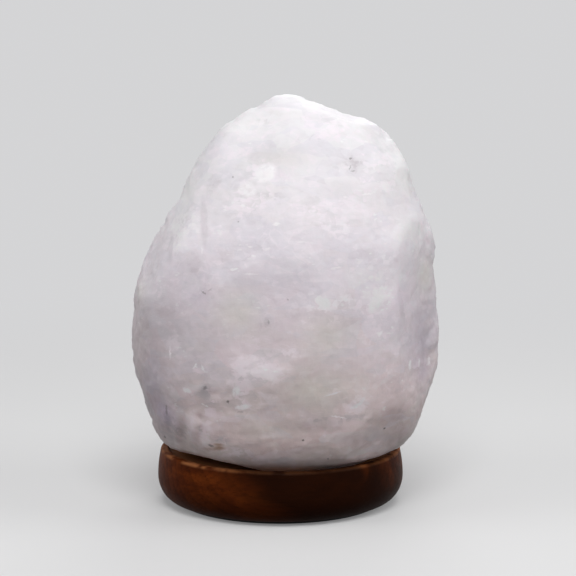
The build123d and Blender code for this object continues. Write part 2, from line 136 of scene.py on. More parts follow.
class Shading:
    def __init__(self, tree):
        self.tree = tree

    def feed(self, socket, value):
        if isinstance(value, Tap):
            self.tree.links.new(value.socket, socket)
        else:
            socket.default_value = value

    def add(self, kind, settings=None, sockets=None, output=0):
        node = self.tree.nodes.new("ShaderNode" + kind)
        for key, value in (settings or {}).items():
            if key == "stops":
                for element, (position, colour) in zip(node.color_ramp.elements, value):
                    element.position, element.color = position, colour
            else:
                setattr(node, key, value)
        for key, value in (sockets or {}).items():
            self.feed(node.inputs[key], value)
        return Tap(self, node.outputs[output])

    def seenRays(self):   # 1 where the eye, a mirror or glass sees the background, 0 where it lights the lamp
        kinds = [self.add("LightPath", {}, {}, "Is %s Ray" % kind)
                 for kind in ("Camera", "Glossy", "Transmission")]
        return kinds[0].maths("MAXIMUM", kinds[0].maths("MAXIMUM", kinds[0], kinds[1]), kinds[2])


class Finish(Shading):
    def __init__(self, name, **plain):
        self.material = bpy.data.materials.new(name)
        self.material.use_nodes = True
        super().__init__(self.material.node_tree)
        self.shader = self.tree.nodes["Principled BSDF"]
        self.place = self.add("TexCoord", {}, {}, "Object")
        for socket, value in plain.items():
            self.feed(self.shader.inputs[socket.replace("_", " ")], value)

    def stretched(self, x, y, z, at=None):   # object coordinates, scaled along each axis
        return self.add("Mapping", {}, {"Vector": at or self.place, "Scale": (x, y, z)})

    def axis(self, name, at=None):   # one coordinate
        return self.add("SeparateXYZ", {}, {0: at or self.place}, name)

    def cloud(self, scale, detail=2.0, at=None, rough=0.5, twist=0.0):
        return self.add("TexNoise", {}, {"Vector": at or self.place, "Scale": scale, "Detail": detail,
                                         "Roughness": rough, "Distortion": twist})

    def cells(self, scale, at=None, feature="F1", output="Distance"):
        sockets = {"Vector": at or self.place, "Scale": scale}
        return self.add("TexVoronoi", {"feature": feature}, sockets, output)

    def cellValues(self, scale, at=None):   # three even random numbers for each cell
        first = self.add("SeparateColor", {}, {0: self.cells(scale, at, output="Color")})
        return [Tap(self, output) for output in first.socket.node.outputs]

    def cellValue(self, scale, at=None):
        return self.cellValues(scale, at)[0]

    def bent(self, scale, by, at=None):   # coordinates pushed about, so that cells lose their straight sides
        push = self.add("TexNoise", {}, {"Vector": at or self.place, "Scale": scale, "Detail": 2.0}, "Color")
        centred = self.add("VectorMath", {"operation": "SUBTRACT"}, {0: push, 1: (0.5, 0.5, 0.5)})
        moved = self.add("VectorMath", {"operation": "SCALE"}, {0: centred, "Scale": by})
        return self.add("VectorMath", {"operation": "ADD"}, {0: at or self.place, 1: moved})

    def between(self, value, low, high):   # 0 at low, 1 at high, smooth
        return self.add("MapRange", {"interpolation_type": "SMOOTHSTEP"},
                        {"Value": value, "From Min": low, "From Max": high})

    def mixed(self, share, first, second, blend="MIX"):
        return self.add("Mix", {"data_type": "RGBA", "blend_type": blend}, {0: share, 6: first, 7: second}, 2)

    def ramp(self, value, *stops):
        return self.add("ValToRGB", {"stops": stops}, {0: value})

    def own(self, name):   # a number stored on the piece's mesh
        return self.add("Attribute", {"attribute_name": name}, {}, "Fac")

    def bump(self, height, distance, strength=1.0, over=None):
        sockets = {"Height": height, "Distance": distance, "Strength": strength}
        if over is not None:
            sockets["Normal"] = over
        return self.add("Bump", {}, sockets)

    def colour(self, value):
        self.base = value
        self.feed(self.shader.inputs["Base Color"], value)

    def lay(self, share, tint):   # mixes a tint over the colour so far
        self.colour(self.mixed(share, self.base, tint))

    def roughness(self, value):
        self.feed(self.shader.inputs["Roughness"], value)

    def normal(self, value):
        self.feed(self.shader.inputs["Normal"], value)


def grey(value):
    return (value, value, value, 1)


print("mixing the finishes")

saltLook = {
    # crown, waist and foot tints grow darker and warmer downwards: partly the rock's own tint, partly painted
    # shade under light from above
    "crown": (0.875, 0.856, 0.88, 1),
    "waist": (0.83, 0.752, 0.812, 1),
    "foot": (0.80, 0.648, 0.640, 1),
    "cool": (0.78, 0.75, 0.815, 1),
    "cream": (0.80, 0.74, 0.705, 1),
    "milk": (0.975, 0.893, 0.955, 1),
    "lowMilk": (0.905, 0.775, 0.82, 1),
    "murk": (0.53, 0.48, 0.512, 1),
    "speck": (0.10, 0.08, 0.08, 1),
    "violet": (0.62, 0.52, 0.70, 1),
    "olive": (0.80, 0.775, 0.70, 1),
    "rust": (0.36, 0.20, 0.12, 1),
    "brightest": (0.975, 0.93, 0.965, 1),
    "footRises": (22 * mm, 102 * mm),      # the foot's tone gives way to the waist's here
    "crownStarts": (80 * mm, 150 * mm),
    "depth": 7.0 * mm,
    "mostPaintedLight": 0.13,                      # painted light any lighter than this and a place would lose its tint
    "panes": (88, 70, 0.006),              # cells to the metre, and how their sides are bent
    "chips": (215, 240, 0.0022),
    "grains": (520, 700, 0.0009),
    "specks": (95, 0.985),                 # cells to the metre, and the share of them left clean
    "blobs": (0.35 * mm, 0.25),            # relief: height and strength, coarse to fine
    "facets": (0.14 * mm, 0.25),
    "frost": (0.07 * mm, 0.45),
}


def saltFinish(look):
    salt = Finish("cloudySalt", Subsurface_Weight=0.65, Subsurface_Scale=look["depth"], IOR=1.5)
    salt.feed(salt.shader.inputs["Subsurface Radius"], (1.0, 0.88, 0.92))
    fine = salt.bent(300, 0.0018)
    level = salt.stretched(0.8, 0.8, 1.5)
    # lighter towards the crown, darker and warmer towards the foot: partly the rock's tint, partly painted
    # shade
    high = salt.axis("Z")
    salt.colour(salt.mixed(salt.between(high, *look["footRises"]), look["foot"], look["waist"]))
    salt.lay(salt.between(high, *look["crownStarts"]), look["crown"])
    # panes and chips of broken salt, each with its own tint and its own cloudiness
    low = 1 - salt.between(high, *look["footRises"])
    milk = salt.mixed(low, look["milk"], look["lowMilk"])
    panes, bend, by = look["panes"]
    paneLight, paneCool, paneWarm = salt.cellValues(panes, salt.bent(bend, by, at=level))
    chips, bend, by = look["chips"]
    chipLight, chipCool, chipWarm = salt.cellValues(chips, salt.bent(bend, by, at=level))
    grains, bend, by = look["grains"]
    grains = salt.cellValue(grains, salt.bent(bend, by))
    coolDrift, warmDrift = salt.cloud(22, 2, at=level), salt.cloud(31, 2)
    cool = paneCool * 0.34 + chipCool * 0.20 + coolDrift * 0.9
    warm = paneWarm * 0.34 + chipWarm * 0.20 + warmDrift * 0.9
    salt.lay(salt.between(cool, 0.62, 0.92) * 0.50, look["cool"])
    salt.lay(salt.between(warm, 0.64, 0.94) * (low * 0.30 + 0.12), look["cream"])
    drift = salt.cloud(62, 3, at=level, rough=0.55)
    mottle = salt.cloud(140, 3, at=level, rough=0.6, twist=0.6)
    sheets = salt.cloud(260, 3, at=salt.stretched(0.5, 0.5, 2.4), rough=0.6)
    broken = paneLight * 0.18 + chipLight * 0.12 + grains * 0.14
    cloudy = broken + drift * 0.75 + mottle * 0.35 + sheets * 0.25
    cloudy = cloudy + salt.own("milk") * 0.40
    salt.lay(salt.between(cloudy, 0.86, 1.20) * 0.50, milk)
    murky = low * 0.10 - broken + (1 - drift) * 0.75 + (1 - mottle) * 0.35 + (1 - sheets) * 0.25
    murky = murky + salt.own("murk") * 0.5
    salt.lay(salt.between(murky, 0.44, 0.95) * 0.45, look["murk"])
    # the marks break along the same chips, so their edges are crisp
    splinters = (chipLight - 0.5) * 0.6 + (grains - 0.5) * 1.0 + (sheets - 0.5) * 1.6
    pale = salt.between(salt.own("milk") + splinters, 0.50, 0.66) * (salt.own("milk") * 0.6 + 0.25)
    salt.lay(pale, milk)
    dim = salt.between(salt.own("murk") - splinters, 0.44, 0.70) * salt.own("murk") * 0.55
    salt.lay(dim, look["murk"])
    # bright cracks, small glints and scattered dark grains
    cracks = salt.cells(120, salt.bent(110, 0.008), feature="DISTANCE_TO_EDGE")
    crackLine = (1 - salt.between(cracks, 0.0, 0.05)) * salt.between(salt.cloud(75, 2), 0.56, 0.70)
    threads = salt.cloud(1100, 2, at=salt.stretched(0.22, 0.22, 1.3))
    hairLine = salt.between(threads, 0.66, 0.76) * salt.between(salt.cloud(150, 2), 0.46, 0.62)
    salt.lay(crackLine * 0.35, milk)
    salt.lay(hairLine * (low * 0.5 + 0.2), milk)
    flakes = salt.cellValue(420, salt.bent(420, 0.0022, at=salt.stretched(0.8, 0.8, 1.3)))
    flake = (flakes > 0.90) * salt.between(salt.own("milk") * 0.5 + salt.cloud(130, 2), 0.60, 0.74)
    salt.lay(flake * 0.6, milk)
    dashes = salt.cellValue(1200, salt.stretched(0.6, 0.6, 1.3))
    sparkle = (dashes > 0.955) * salt.between(salt.cloud(110, 2) + salt.own("milk") * 0.12, 0.55, 0.70)
    salt.lay(sparkle * 0.5, (1, 1, 1, 1))
    specks, clean = look["specks"]
    grain = salt.cells(specks, fine)
    rare = salt.cellValue(specks, fine) > clean
    ragged = salt.between(salt.cloud(1300, 2), 0.38, 0.62)
    grainSpot = rare * (1 - salt.between(grain, 0.02, 0.07)) * ragged
    salt.lay(salt.between(grainSpot, 0.10, 0.75) * 0.6, look["speck"])
    # broad veils of tint, and painted light and shade that make places lighter or darker
    for veil in ("violet", "olive"):
        salt.lay(salt.own(veil) * (0.7 + sheets * 0.6), look[veil])
    stain = salt.between(salt.own("rust") + (sheets - 0.5) * 1.2, 0.30, 0.90)
    salt.lay(stain * 0.8, look["rust"])
    # painted light and shade, stored on the mesh as the light marks
    paintedLightShade = salt.own("light") * (0.75 + mottle * 0.5)
    paintedLightShade = paintedLightShade.maths("MINIMUM", paintedLightShade, look["mostPaintedLight"])
    toned = salt.add("VectorMath", {"operation": "SCALE"}, {0: salt.base, "Scale": 1 + paintedLightShade})
    salt.colour(salt.mixed(1.0, toned, look["brightest"], "DARKEN"))
    salt.roughness(0.42 + salt.cloud(210, 2) * 0.25)
    coarse = salt.bump(salt.cloud(300, 4, rough=0.6), *look["blobs"])
    faceted = salt.bump(salt.cellValue(430, fine), *look["facets"], over=coarse)
    salt.normal(salt.bump(salt.cloud(1500, 2), *look["frost"], over=faceted))
    return salt


woodLook = {
    "light": (0.150, 0.032, 0.0058, 1),
    "middle": (0.078, 0.0155, 0.0038, 1),
    "dark": (0.0098, 0.0030, 0.0014, 1),
    # the painted highlight's colour on the rim's crest
    "paintedCrestHighlight": (0.42, 0.165, 0.065, 1),
    "paintedDishLight": (0.36, 0.165, 0.075, 1),      # painted light in the dish, where light comes through the salt
    "ringWidth": 3.4 * mm,
    "heart": (0.0, 62 * mm, -46 * mm),    # the rings' middle, well outside the base
    "paintedShadowSpan": (-6 * mm, 20 * mm, 54 * mm, 80 * mm),   # the painted shadow starts, is full, thins out and ends
    "slant": 1.3,
    "foot": (1 * mm, 17 * mm),            # painted shade darkens the wood towards the foot
    "crest": (20.6 * mm, 21.8 * mm),      # a highlight is painted on the rim from here up
    "dish": (43.6 * mm, 45.6 * mm),       # and the dish inside it gets painted light
    "dishRises": (18 * mm, 20 * mm),
}


def woodFinish(look):
    wood = Finish("redBrownWood", Specular_IOR_Level=0.018)
    grain = wood.add("Mapping", {}, {"Vector": wood.place, "Location": tuple(-v for v in look["heart"])})
    swayed = wood.bent(26, 0.012, at=wood.stretched(0.10, 1, 1, at=grain))
    across, up = wood.axis("Y", at=swayed), wood.axis("Z", at=swayed)
    radius = (across * across + up * up) ** 0.5
    rings = wood.add("Math", {"operation": "FRACT"}, {0: radius / look["ringWidth"]})
    late = wood.between(rings, 0.35, 0.92) * (1 - wood.between(rings, 0.92, 1.0))
    fibre = wood.cloud(900, 4, at=wood.stretched(0.035, 1, 1))
    pores = wood.cloud(2600, 2, at=wood.stretched(0.03, 1, 1))
    poreLine = wood.between(pores, 0.60, 0.72)
    figure = wood.cloud(55, 3, at=wood.stretched(0.4, 1, 1.4), twist=1.2)
    wood.colour(wood.mixed(wood.between(figure, 0.34, 0.66), look["middle"], look["light"]))
    # a painted shadow of the salt's overhang: a dark band slanting across the front
    high = wood.axis("Z")
    side = wood.axis("X") + high * look["slant"] + (figure - 0.5) * 0.025
    start, full, thins, ends = look["paintedShadowSpan"]
    band = wood.between(side, start, full) * (1 - wood.between(side, thins, ends))
    wood.lay(band * 0.93, look["dark"])
    # painted shade towards the foot
    wood.lay((1 - wood.between(high, *look["foot"])) * 0.55, look["dark"])
    wood.lay(late * 0.20, look["dark"])
    wood.lay(wood.between(fibre, 0.42, 0.72) * 0.28, look["dark"])
    wood.lay(poreLine * 0.35, look["dark"])
    level = wood.add("VectorMath", {"operation": "MULTIPLY"}, {0: wood.place, 1: (1, 1, 0)})
    outward = wood.add("VectorMath", {"operation": "LENGTH"}, {0: level}, "Value")
    # painted light in the dish, where light comes through the salt
    inDish = (1 - wood.between(outward, *look["dish"])) * wood.between(high, *look["dishRises"])
    wood.lay(inDish * 0.8, look["paintedDishLight"])
    # painted highlight along the rim's crest, kept off the painted shadow and the dish
    paintedHighlight = wood.between(high, *look["crest"]) * wood.between(wood.cloud(140, 3), 0.36, 0.58)
    wood.lay(paintedHighlight * 0.75 * (1 - band * 0.9) * (1 - inDish), look["paintedCrestHighlight"])
    wood.roughness(0.36 + fibre * 0.16 + poreLine * 0.1)
    turning = wood.cloud(3000, 2, at=wood.stretched(0.02, 0.02, 1))
    tooled = wood.bump(turning, 0.04 * mm, 0.3)
    wood.normal(wood.bump(fibre * 0.5 - poreLine * 0.8, 0.10 * mm, 0.35, over=tooled))
    return wood


def feltFinish():
    felt = Finish("darkFelt", Roughness=0.95, Sheen_Weight=0.4, Sheen_Roughness=0.5)
    hairs = felt.cloud(2200, 4, rough=0.7)
    tufts = felt.cloud(420, 3)
    felt.colour(felt.ramp(hairs * 0.6 + tufts * 0.4, (0.30, grey(0.012)), (0.72, grey(0.075))))
    felt.normal(felt.bump(hairs, 0.5 * mm, 0.8))
    return felt


def metalFinish(name, colour, rough, brushed=0.08):
    metal = Finish(name, Metallic=1.0)
    scratches = metal.cloud(1800, 3, at=metal.stretched(1, 1, 0.08))
    blotch = metal.between(metal.cloud(160, 3), 0.42, 0.70)
    dull = tuple(c * 0.62 for c in colour[:3]) + (1,)
    metal.colour(metal.mixed(blotch * 0.45, colour, dull))
    metal.roughness(rough + scratches * brushed + blotch * 0.10)
    metal.normal(metal.bump(scratches, 0.03 * mm, 0.25))
    return metal


def mouldedFinish(name, colour, rough, coat=0.0):
    moulded = Finish(name, Coat_Weight=coat, Coat_Roughness=0.2)
    skin = moulded.cloud(1900, 3)
    patch = moulded.cloud(90, 3)
    pale = tuple(min(1.0, c * 1.35 + 0.012) for c in colour[:3]) + (1,)
    moulded.colour(moulded.mixed(moulded.between(patch, 0.40, 0.70) * 0.5, colour, pale))
    moulded.roughness(rough + patch * 0.12)
    moulded.normal(moulded.bump(skin, 0.05 * mm, 0.35))
    return moulded


def clearGlassFinish():
    glass = Finish("clearGlass", Transmission_Weight=1.0, IOR=1.45)
    smear = glass.cloud(60, 3)
    clean, dusty = (0.97, 0.985, 0.975, 1), (0.93, 0.95, 0.945, 1)
    glass.colour(glass.mixed(glass.between(smear, 0.45, 0.75), clean, dusty))
    glass.roughness(glass.between(smear, 0.55, 0.85) * 0.06)
    return glass


finishes = {
    "salt": saltFinish(saltLook),
    "wood": woodFinish(woodLook),
    "felt": feltFinish(),
    "screw_steel": metalFinish("zincedSteel", (0.62, 0.61, 0.57, 1), 0.30),
    "plug_nylon": mouldedFinish("milkyNylon", (0.72, 0.70, 0.64, 1), 0.42),
    "holder_black": mouldedFinish("blackPhenolic", (0.018, 0.0175, 0.019, 1), 0.28, coat=0.2),
    "insert_ceramic": mouldedFinish("steatite", (0.76, 0.74, 0.69, 1), 0.38, coat=0.3),
    "sleeve_brass": metalFinish("pressedBrass", (0.80, 0.58, 0.27, 1), 0.20),
    "clip_steel": metalFinish("springSteel", (0.66, 0.66, 0.67, 1), 0.16),
    "clear_glass": clearGlassFinish(),
    "cap_aluminium": metalFinish("rolledAluminium", (0.80, 0.80, 0.80, 1), 0.24),
    "black_glass": mouldedFinish("blackGlass", (0.008, 0.008, 0.010, 1), 0.08, coat=0.6),
    "solder": metalFinish("solder", (0.55, 0.55, 0.53, 1), 0.36),
    "lead_nickel": metalFinish("nickelWire", (0.62, 0.60, 0.56, 1), 0.28),
    "tungsten": metalFinish("tungstenCoil", (0.20, 0.20, 0.21, 1), 0.45),
}
slotOf = {part["node"]: part["material_slot"] for part in frame["record"]["subparts"]}

for name, node in nodes.items():
    node.data.materials.clear()
    node.data.materials.append(finishes[slotOf[name]].material)


def addPiece(name, mesh, nodeName, sharpAngle=None):
    mesh.materials.clear()
    mesh.materials.append(finishes[slotOf[nodeName]].material)
    if sharpAngle is None:
        mesh.shade_smooth()
    else:
        mesh.set_sharp_from_angle(angle=math.radians(sharpAngle))
    piece = placed(name, mesh)
    body = nodes[nodeName]["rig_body"]
    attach(piece, body)
    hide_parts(nodeName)
    return piece


def settled(piece):   # the mesh with its modifiers applied
    graph = bpy.context.evaluated_depsgraph_get()
    return bpy.data.meshes.new_from_object(piece.evaluated_get(graph), depsgraph=graph)


print("breaking the salt crystal")

crystal = {
    "seed": 5,                  # of the way in which the broken blocks tilt
    "voxel": 1.0 * mm,
    "seatTop": 21.2 * mm,       # nothing is roughened below this
    "seatFade": 4.0 * mm,
    "hollowRadius": 24.2 * mm,
    "hollowTop": 119.0 * mm,
    "plugCircle": 30.0 * mm,
    "plugReach": 5.0 * mm,
    "plugTop": 45.5 * mm,
    "easing": 14,               # rounds of smoothing over the hewn edges
    "blocks": [                 # size of the broken blocks, how far they step, how much each one tilts
        (19 * mm, 0.30 * mm, 0.045),
        (8.5 * mm, 0.22 * mm, 0.060),
        (3.8 * mm, 0.16 * mm, 0.085),
    ],
    "grit": (2.0 * mm, 0.17 * mm, 0.4),   # its size and height, and the share that a calm place keeps
    "ruggedBelow": 40 * mm,     # the front is hewn roughly at its foot and is calmer above
    "calmAbove": 84 * mm,
    "calmFacing": (0.20, 0.65), # how squarely a place must look forward to be part of that front
    "calmShares": (0.50, 0.25), # what is left of the relief at the front's foot, and above
    "edgeDepth": 11 * mm,       # how far each dab on the outline runs from front to back
    "dabDepth": 1.5,            # how much deeper than wide the dabs on the face are, and the marks
    "markDepth": 1.8,
    "leastMark": 4 * mm,
    "spotDepth": 2.5,
    "seam": (0.12, 0.65),       # between blocks: its width as a share of theirs, and how deep it is
}

# small pushes that bring the rock to its outline and ridges: pixel, reach in pixels, pixels outwards
crystalDabs = {
    "edge": {
        "peak": (273, 98, 6, 4, 0.9),
        "left of the peak": (256, 105, 8, 5, -2.4),
        "left shoulder": (246, 111, 8, 5, -1.5),
        "below the left shoulder": (234, 118, 9, 6, -2.6),
        "right of the peak": (321, 103, 9, 6, 1.2),
        "right shoulder step": (348, 113, 13, 5, -1.9),
        "right brow": (385, 128, 6, 5, -1.8),
        "right temple": (400, 147, 6, 7, -2.2),
        "right cheek": (408, 165, 8, 8, 2.4),
        "left brow": (178, 200, 9, 11, -3.2),
        "left chip": (164, 224, 5, 4, -1.8),
        "left step": (141, 276, 6, 7, -4.0),
        "left cheek": (134, 293, 8, 8, 1.7),
        "left low chip": (134, 314, 5, 7, -2.8),
        "left hollow": (134, 354, 10, 14, -4.2),
        "left foot chip": (151, 417, 6, 6, -2.0),
        "left heel": (156, 429, 6, 6, -2.6),
        "right bulge": (434, 240, 12, 16, 3.8),
        "right notch": (433, 266, 5, 4, -2.2),
        "right flank": (437, 292, 9, 17, 3.2),
        "right belly": (437, 344, 9, 11, -2.0),
        "right heel": (413, 434, 6, 5, 2.0),
    },
    "face": {
        "first ridge": (176, 428, 4, 18, 1.3),
        "first groove": (184, 430, 4, 18, -1.2),
        "second ridge": (193, 430, 5, 18, 1.3),
        "second groove": (201, 432, 4, 14, -1.2),
        "third ridge": (210, 428, 6, 14, 1.2),
        "hollow by the left chip": (214, 394, 5, 5, -1.2),
        "right flake": (384, 300, 14, 10, 1.0),
        "right cheek fill": (410, 252, 11, 22, 2.4),
    },
}

# what the eye finds on the front: pixel, reach in pixels, and how strongly
crystalMarks = {
    "milk": {
        "pane under the crown": (263, 171, 13, 9, 1.0),
        "pane left of it": (246, 196, 14, 10, 0.7),
        "right shoulder sheet": (388, 162, 13, 12, 0.8),
        "band along the shoulder": (345, 205, 26, 7, 0.6),
        "small flake right of the middle": (331, 222, 14, 6, 0.7),
        # painted light on the upper left edge
        "left cheek": (176, 232, 9, 14, 0.7),
        "right flake high": (384, 300, 20, 15, 0.9),
        "right flake low": (322, 303, 11, 9, 0.9),
        "middle drift": (260, 368, 20, 10, 0.6),
        "drift's tail": (241, 388, 9, 16, 1.05),
        "drift's right": (274, 376, 12, 8, 0.8),
        "drift's left": (240, 366, 9, 7, 0.8),
        "low right flecks": (336, 392, 10, 4, 0.7),
        "left belly's fleck": (172, 346, 7, 6, 0.75),
        "lump by the stain": (193, 416, 4, 8, 0.7),
        "bright chip": (243, 407, 9, 4, 1.0),
        "left chip": (187, 391, 6, 3, 0.9),
        "low right crack": (357, 405, 12, 7, 1.0),
        "right edge chip": (417, 363, 9, 6, 0.8),
        "low left lump": (206, 430, 8, 10, 0.85),
        "left streak": (174, 342, 6, 9, 0.6),
        # lighter along the ridges at the foot: partly the rock's white, partly painted highlight
        "first ridge": (176, 424, 3.0, 14, 0.95),
        "second ridge": (191, 432, 4.0, 13, 0.95),
        "cheek by the brow": (192, 214, 9, 11, 0.5),
        "crown right": (334, 130, 14, 6, 0.6),
        "crown left": (232, 128, 12, 8, 0.4),
        "thin flake": (340, 232, 9, 2.5, 0.8),
        # painted light on the undercut foot, which lies in shade
        "foot front": (240, 453, 18, 7, 0.7),
        "two small flakes": (198, 370, 5, 4, 0.8),
        "bright grain": (213, 402, 2.5, 2.5, 0.7),
        "pale pane": (305, 212, 16, 8, 0.6),
        "square flake": (386, 186, 6, 6, 0.9),
        "brow's pale drift": (240, 206, 16, 8, 0.5),
        "olive's pale edge": (318, 326, 14, 6, 0.4),
        "right of the drift": (290, 352, 10, 6, 0.5),
        "right low chips": (378, 333, 6, 4, 0.7),
        "right shoulder chip": (366, 183, 7, 6, 0.5),
        "wedge's right": (345, 302, 9, 5, 0.6),
        "left tooth": (176, 340, 5, 5, 0.7),
        "low left lump's top": (210, 412, 6, 7, 0.8),
    },
    "murk": {
        "under the drift": (258, 396, 26, 5, 0.3),
        # painted shade in the low hollow
        "low left hollow": (171, 425, 10, 16, 0.6),
        "grey patch on the shoulder": (355, 163, 11, 8, 0.5),
        # painted shade in the low hollow
        "low right hollow": (315, 420, 14, 6, 0.5),
        "left brow": (212, 186, 8, 6, 0.25),
        "low right facet": (350, 418, 18, 5, 0.6),
        "left drift": (205, 392, 6, 8, 0.9),
        "drift's foot": (209, 403, 7, 4, 0.5),
        "left dashes": (202, 292, 9, 4, 0.4),
        "middle left": (266, 323, 6, 6, 0.45),
        "right edge": (425, 352, 6, 7, 0.5),
        "pane's shade": (270, 196, 13, 6, 0.3),
        "crown left": (262, 121, 9, 4, 0.3),
        "crown front": (316, 137, 9, 3, 0.3),
        # painted shade in the grooves beside the ridges
        "between the ridges": (184, 432, 3, 13, 0.5),
        "right of the ridges": (200, 434, 3, 13, 0.5),
        "left of the ridges": (167, 418, 3, 12, 0.7),
        "stain at the foot": (222, 441, 8, 5, 0.9),
        "under the left chip": (206, 390, 5, 6, 0.6),
    },
    "light": {                     # painted light and shade: how much lighter or darker a place is than its tint
        "left belly": (160, 328, 30, 34, -0.26),
        "over the middle": (288, 265, 24, 9, 0.15),
        "foot's right": (370, 427, 16, 7, 0.10),
        "left of the middle": (208, 334, 34, 20, -0.10),
        "middle": (262, 334, 24, 18, -0.06),
        "left heel": (150, 410, 16, 34, -0.18),
        "left flank": (175, 348, 22, 22, -0.08),
        "right flank": (424, 335, 13, 36, -0.18),
        "right chest": (380, 262, 34, 28, 0.20),
        "right cheek": (412, 246, 18, 26, 0.22),
        "low middle": (365, 390, 40, 18, 0.12),
        "foot's middle": (262, 440, 56, 10, 0.12),
        "middle right": (318, 298, 14, 26, 0.07),
        "left shoulder": (245, 130, 40, 14, 0.08),
        "right temple": (406, 172, 12, 26, 0.22),
        "left temple's edge": (182, 180, 8, 16, 0.14),
        "heel's right": (398, 444, 16, 8, -0.16),
        "foot's left": (230, 442, 12, 8, 0.14),
        "right belly": (392, 330, 14, 18, -0.08),
        "left temple": (188, 184, 14, 22, 0.20),
        "left brow": (180, 234, 24, 24, 0.15),
        "pale band": (335, 298, 34, 12, 0.06),
        "middle drift": (262, 374, 28, 14, 0.04),
        "under the middle": (318, 424, 34, 10, -0.16),
        "right heel": (402, 436, 26, 16, -0.18),
        "foot": (215, 446, 24, 8, 0.14),
        "foot front": (252, 452, 20, 8, 0.12),
        "crown front": (286, 156, 36, 16, -0.11),
        "crown right rim": (350, 112, 34, 7, -0.16),
        "under the crown": (345, 188, 20, 8, -0.10),
    },
    # a darker violet tint on the flanks and heels: partly the rock's hue, partly painted shade at its edges
    "violet": {
        "left heel": (152, 396, 16, 44, 0.32),
        "left hollow": (166, 414, 14, 14, 0.45),
        "right flank": (420, 345, 14, 36, 0.25),
        "right belly": (400, 300, 12, 14, 0.15),
        "left of the middle": (196, 296, 16, 10, 0.15),
        "right edge": (424, 372, 8, 9, 0.25),
    },
    "olive": {
        "left of the middle": (238, 312, 22, 24, 0.45),
        "right of the middle": (326, 336, 24, 22, 0.45),
        "low middle": (318, 388, 48, 22, 0.45),
        "right edge": (425, 275, 10, 18, 0.55),
        "crown": (280, 158, 30, 10, 0.25),
        "left heel": (262, 430, 30, 12, 0.30),
        "left edge": (140, 290, 8, 14, 0.35),
    },
    "rust": {
        "stain at the foot": (219, 447, 8, 6, 0.75),
        "stain by the ridges": (206, 450, 10, 4, 0.45),
        "foot's left edge": (176, 448, 14, 3, 0.35),
    },
}

# the side that the eye doesn't see gets marks of the same kinds: how many, how wide, how strong
crystalScatter = {
    "seed": 7,
    "from": 5 * mm,
    "milk": (60, (2 * mm, 7 * mm), (0.7, 1.2)),
    "murk": (38, (2 * mm, 6 * mm), (0.2, 0.6)),
    # painted light and shade, scattered at random
    "light": (26, (8 * mm, 18 * mm), (-0.10, 0.18)),
    "violet": (9, (9 * mm, 20 * mm), (0.12, 0.35)),
    "olive": (9, (9 * mm, 20 * mm), (0.2, 0.5)),
    "rust": (4, (2.5 * mm, 5 * mm), (0.45, 0.75)),
}

